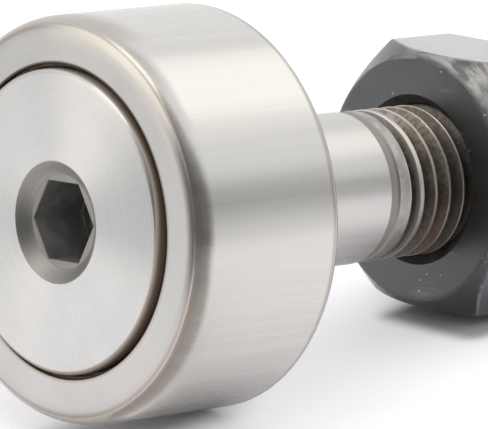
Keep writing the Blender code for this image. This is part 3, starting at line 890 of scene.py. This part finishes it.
def reflection_only(name, bm, look):
    """A studio card or curtain that glows with its own colour and shows only in polished metal, as a painted
    reflection; it takes no light from anything.
    """
    mesh = bpy.data.meshes.new(name)
    bm.to_mesh(mesh)
    bm.free()
    mesh.materials.append(look)
    card = bpy.data.objects.new(name, mesh)
    bpy.context.scene.collection.objects.link(card)
    card.visible_camera = False
    card.visible_diffuse = False
    card.visible_shadow = False
    card.visible_transmission = False


def glow(m, colour):
    """The material of `m`, made to shine with one colour or with a node's output."""
    colour = (*colour, 1.0) if isinstance(colour, tuple) else colour
    emission = m.add("Emission", {"Color": colour})
    m.tree.links.new(emission.outputs[0], m.tree.nodes["Material Output"].inputs["Surface"])
    return m.material


def make_flag():
    """A dark curtain that stands on the table, round the camera's side."""
    m = Nodes("flag_cloth")
    bm = bmesh.new()
    rows = []
    for k in range(FLAG_STEPS + 1):
        azimuth = FLAG_FROM + (FLAG_TO - FLAG_FROM) * k / FLAG_STEPS
        foot = direction(azimuth, 0) * FLAG_RADIUS
        rise = max(0.0, 1.0 - (azimuth - FLAG_MIDDLE) ** 2 / FLAG_SPREAD**2)
        top = FLAG_SIDE_TOP + (FLAG_TOP - FLAG_SIDE_TOP) * min(1.0, 2 * rise)
        rows.append([bm.verts.new((foot.x, foot.y, z)) for z in (table_height(foot.x, foot.y), top)])
    for a, b in zip(rows, rows[1:]):
        bm.faces.new([a[0], b[0], b[1], a[1]])

    split = m.add("SeparateXYZ", {0: m.add("TexCoord").outputs["Object"]}).outputs
    height = split[2]
    angle = m.math("ARCTAN2", split[1], split[0])

    def tall(low, high, to_low=0.0, to_high=1.0):
        """A share by height, in millimetres."""
        return m.window(height, low * MM, high * MM, to_low, to_high)

    def turn(low, high, to_low=0.0, to_high=1.0):
        """A share by azimuth, in degrees."""
        return m.window(angle, math.radians(low), math.radians(high), to_low, to_high)

    def grey(level):
        return m.add("CombineXYZ", {0: level, 1: level, 2: level}).outputs[0]

    # In front: dark at the ring's height, paler towards the table and the top
    dark = m.math("ADD", tall(24, 70, 0.145, 0.46), m.window(height, 70 * MM, FLAG_TOP, 0.0, 0.39))
    dark = m.math("ADD", dark, tall(-8, -24, 0.0, 0.24))

    # To the right: mid grey, white above 32 mm. The border leans back towards the front with height
    above = m.math("MAXIMUM", m.math("SUBTRACT", height, 20.0 * MM), 0.0)
    leaned = m.math("ADD", angle, m.math("MULTIPLY", above, math.radians(0.4) / MM))
    side = m.window(leaned, math.radians(10), math.radians(29))
    foot = m.math("MULTIPLY", tall(12, -6), turn(41, 36, 0.5, 1.0))
    pale = m.math("MAXIMUM", m.math("MAXIMUM", tall(12, 32), foot), turn(46, 70))
    lowest = turn(36, 41, 0.52, 0.42)
    right = m.math("MULTIPLY_ADD", pale, m.math("SUBTRACT", 1.0, lowest), lowest)
    dark = m.math("MULTIPLY", dark, m.math("SUBTRACT", 1.0, side))
    level = m.math("ADD", dark, m.math("MULTIPLY", right, side))

    # To the left: white, then a warm strip, both glowing brighter than white: painted highlights for the metal
    high = m.math("MAXIMUM", tall(3, 24), tall(-13, -22))
    high = m.math("MAXIMUM", turn(-106, -125), high)
    left = m.math("MULTIPLY", turn(-68, -84), high)
    cloth = m.mix(left, grey(level), grey(tall(-18, 14, 1.24, 0.82)))
    strip = m.math("MULTIPLY", turn(-98, -112), tall(1, 12))
    strip = m.math("MULTIPLY", strip, turn(-134, -126))
    reflection_only("flag", bm, glow(m, m.mix(strip, cloth, (1.5, 1.43, 1.33))))


def make_card():
    """A taupe card that lies on the table in front of the ring and to its right, darker further out: a painted
    reflection of the table's shade there, seen only in the metal.
    """
    m = Nodes("card_shade_glow")
    bm = bmesh.new()
    corners = [(x * MM, y * MM) for x, y in CARD_OUTLINE]
    bm.faces.new([bm.verts.new((x, y, table_height(x, y) + 0.1 * MM)) for x, y in corners])
    split = m.add("SeparateXYZ", {0: m.add("TexCoord").outputs["Object"]}).outputs
    far = m.mix(m.window(split[0], 24.0 * MM, 50.0 * MM), (0.45, 0.415, 0.395), (0.31, 0.30, 0.295))
    front = m.math("MULTIPLY", m.window(split[1], -13.0 * MM, -26.0 * MM), m.window(split[0], 20.0 * MM, 6.0 * MM))
    shade_glow = m.mix(front, far, (0.72, 0.68, 0.65))
    slanted = m.math("MULTIPLY_ADD", split[0], -0.35, split[1])
    back = m.window(slanted, -12.2 * MM, -9.2 * MM)
    reflection_only("card", bm, glow(m, m.mix(back, shade_glow, (0.86, 0.85, 0.85))))


def make_ceiling():
    """An oval panel high above, grey in the middle."""
    m = Nodes("ceiling_cloth")
    bm = bmesh.new()
    bmesh.ops.create_circle(bm, cap_ends=True, segments=CEILING_STEPS, radius=1.0)
    half = (*CEILING_HALF, 1.0)
    bmesh.ops.scale(bm, verts=bm.verts, vec=half)
    bmesh.ops.translate(bm, verts=bm.verts, vec=CEILING_CENTRE)
    position = m.add("TexCoord").outputs["Object"]
    from_centre = m.add("VectorMath", {0: position, 1: CEILING_CENTRE}, operation="SUBTRACT").outputs[0]
    across = m.add("VectorMath", {0: from_centre, 1: half}, operation="DIVIDE").outputs[0]
    away = m.add("VectorMath", {0: across}, operation="LENGTH").outputs["Value"]
    reflection_only("ceiling", bm, glow(m, m.mix(m.window(away, 1.0, 0.6), (1.0, 1.0, 1.0), (0.70, 0.69, 0.67))))


def make_table():
    """A pale round table, clear from below."""
    m = Nodes("table_top")
    bm = bmesh.new()
    bmesh.ops.create_circle(bm, cap_ends=True, segments=TABLE_STEPS, radius=TABLE_RADIUS)
    mesh = bpy.data.meshes.new("table_top")
    bm.to_mesh(mesh)
    bm.free()
    table = bpy.data.objects.new("table_top", mesh)
    bpy.context.scene.collection.objects.link(table)
    turn = TABLE_NORMAL.to_track_quat("Z", "Y").to_matrix().to_4x4()
    table.matrix_world = Matrix.Translation(TABLE_NORMAL * TABLE_DISTANCE) @ turn
    m.shine(Roughness=0.9, Specular_IOR_Level=0.0)
    geometry = m.add("NewGeometry").outputs

    def clearance(centre, half):
        """Distance from an upright block, seen from above."""
        offset = m.add("VectorMath", {0: geometry["Position"], 1: centre}, operation="SUBTRACT").outputs[0]
        offset = m.add("VectorMath", {0: offset}, operation="ABSOLUTE").outputs[0]
        offset = m.add("VectorMath", {0: offset, 1: half}, operation="SUBTRACT").outputs[0]
        offset = m.add("VectorMath", {0: offset, 1: (0.0, 0.0, 0.0)}, operation="MAXIMUM").outputs[0]
        return m.add("VectorMath", {0: offset}, operation="LENGTH").outputs["Value"]

    # The table glows for the camera and in reflections, but not where the ring and the nut stand on it
    ring = clearance((-1.0 * MM, -7.0 * MM, 0.0), (0.5 * MM, 5.5 * MM, 1.0))
    nut = clearance((1.0 * MM, 22.7 * MM, 0.0), (3.4 * MM, 3.3 * MM, 1.0))
    open_share = m.math("MULTIPLY", m.window(ring, 1.0 * MM, 5.5 * MM), m.window(nut, 0.2 * MM, 2.4 * MM))
    # Painted shadow: the table's colour is darker under the nut
    m.shine(Base_Color=m.mix(m.window(nut, 0.0, 2.0 * MM), (0.56, 0.555, 0.57), (0.77, 0.765, 0.785)))
    split = m.add("SeparateXYZ", {0: geometry["Position"]}).outputs  # less glow in front, left of the ring
    left = m.window(split[0], -16.0 * MM, -3.0 * MM, 0.5, 1.0)
    behind = m.window(split[1], 2.0 * MM, 16.0 * MM)
    open_share = m.math("MULTIPLY", open_share, m.math("MAXIMUM", left, behind))
    around_nut = m.window(nut, 1.0 * MM, 8.0 * MM, 0.0, 0.75)
    mirrored = m.math("MULTIPLY", m.window(ring, 3.0 * MM, 12.0 * MM), around_nut)
    path = m.add("LightPath").outputs
    direct = m.math("MULTIPLY", m.math("MAXIMUM", path["Is Camera Ray"], path["Is Transmission Ray"]), open_share)
    seen = m.math("MAXIMUM", direct, m.math("MULTIPLY", path["Is Glossy Ray"], mirrored))
    m.shine(Emission_Color=(0.985, 0.975, 1.0, 1.0), Emission_Strength=m.math("MULTIPLY", seen, 0.37))
    clear = m.add("BsdfTransparent")
    shown = m.add("MixShader", {0: geometry["Backfacing"], 1: m.shader.outputs[0], 2: clear.outputs[0]})
    m.tree.links.new(shown.outputs[0], m.tree.nodes["Material Output"].inputs["Surface"])
    mesh.materials.append(m.material)


def make_camera():
    """The photo's own camera, fitted to the ring's ellipses."""
    back = Vector(
        (math.sin(AZIMUTH) * math.cos(ELEVATION), -math.cos(AZIMUTH) * math.cos(ELEVATION), math.sin(ELEVATION))
    )
    right = Vector((math.cos(AZIMUTH), math.sin(AZIMUTH), 0.0))
    up = back.cross(right)
    data = bpy.data.cameras.new("camera")
    data.sensor_width = 36.0
    data.lens = LENS
    data.clip_start, data.clip_end = 0.01, 100.0
    camera = bpy.data.objects.new("camera", data)
    bpy.context.scene.collection.objects.link(camera)
    aim = Vector((0.0, RING_FRONT, 0.0)) + right * AIM_RIGHT + up * AIM_UP
    turn = Matrix((right, up, back)).transposed().to_4x4()
    camera.matrix_world = Matrix.Translation(aim + back * DISTANCE) @ turn
    bpy.context.scene.camera = camera


# ---------------------------------------------------------------- scene


def main():
    steel = (0.71, 0.693, 0.667)
    ground = ground_steel("ground_steel", steel, 0.27)
    shank = ground_steel("shank_steel", (0.68, 0.665, 0.645), 0.35)
    ring_face = ring_face_steel("ring_face_steel", (0.575, 0.562, 0.545))
    head = head_steel("head_steel", (0.665, 0.655, 0.642))
    raceway = turned_steel("raceway_steel", steel, 0.14, 0.4)
    countersink = turned_steel("countersink_steel", (0.36, 0.35, 0.335), 0.46, 0.4)
    neck = turned_steel("neck_steel", (0.385, 0.37, 0.35), 0.55, 0.2)
    plate = turned_steel("plate_steel", (0.64, 0.63, 0.615), 0.34, 0.7)
    thread = thread_steel("thread_steel")
    greasy_shaded = greasy_shaded_steel("greasy_shaded_steel")
    socket = dark_scale("socket_scale", (0.11, 0.109, 0.106), (0.16, 0.158, 0.155))
    # The nut's bore is darker than the socket: painted shade inside the nut
    bore = dark_scale("bore_shade_scale", (0.045, 0.042, 0.036), (0.085, 0.076, 0.064))
    nut_turned = black_oxide("black_oxide", (0.38, 0.48), coat_roughness=0.30, paleness=0.88)
    nut_flats = black_oxide("black_oxide_flats", (0.20, 0.26), coat_roughness=0.06, paleness=2.25)
    rubber = soft_material("seal_rubber", (0.115, 0.082, 0.060), (0.175, 0.130, 0.098), 0.6, 900.0)
    plastic = soft_material("washer_plastic", (0.50, 0.45, 0.36), (0.60, 0.55, 0.45), 0.5, 600.0)
    cage = plain_metal("cage_steel", (0.42, 0.40, 0.37), 0.38, 500.0, (1.0, 0.3, 1.0))
    needle = plain_metal("needle_steel", (0.80, 0.79, 0.78), 0.12, 2000.0, (1.0, 0.05, 1.0))

    make_ring([ground, raceway, ring_face, greasy_shaded])
    make_stud([head, socket, countersink, thread, shank, neck])
    make_side_plate([plate])
    make_seal("front_seal", "seal_front", 1, [rubber])
    make_seal("rear_seal", "seal_rear", -1, [rubber])
    make_nut([nut_turned, bore, nut_flats])

    # These keep the frame's own meshes
    for name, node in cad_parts.items():
        look = {"cage": cage, "thrust_washer_front": plastic, "thrust_washer_rear": plastic}.get(name)
        if name.startswith("needle"):
            look = needle
        if look:
            node.data.materials.clear()
            node.data.materials.append(look)

    make_world()
    make_softbox(
        "key_light",
        azimuth=78.0,
        elevation=46.0,
        width=0.62,
        height=0.34,
        radiance=1.2,
        colour=(1.0, 0.995, 0.97),
        mirrored=(1.55, 1.53, 1.47),
    )
    make_softbox(
        "front_light",
        azimuth=-95.0,
        elevation=60.0,
        width=0.7,
        height=0.4,
        radiance=1.3,
        colour=(1.0, 0.94, 0.86),
    )
    make_flag()
    make_card()
    make_ceiling()
    make_table()
    make_camera()
    bpy.context.scene.view_settings.view_transform = "Standard"


main()
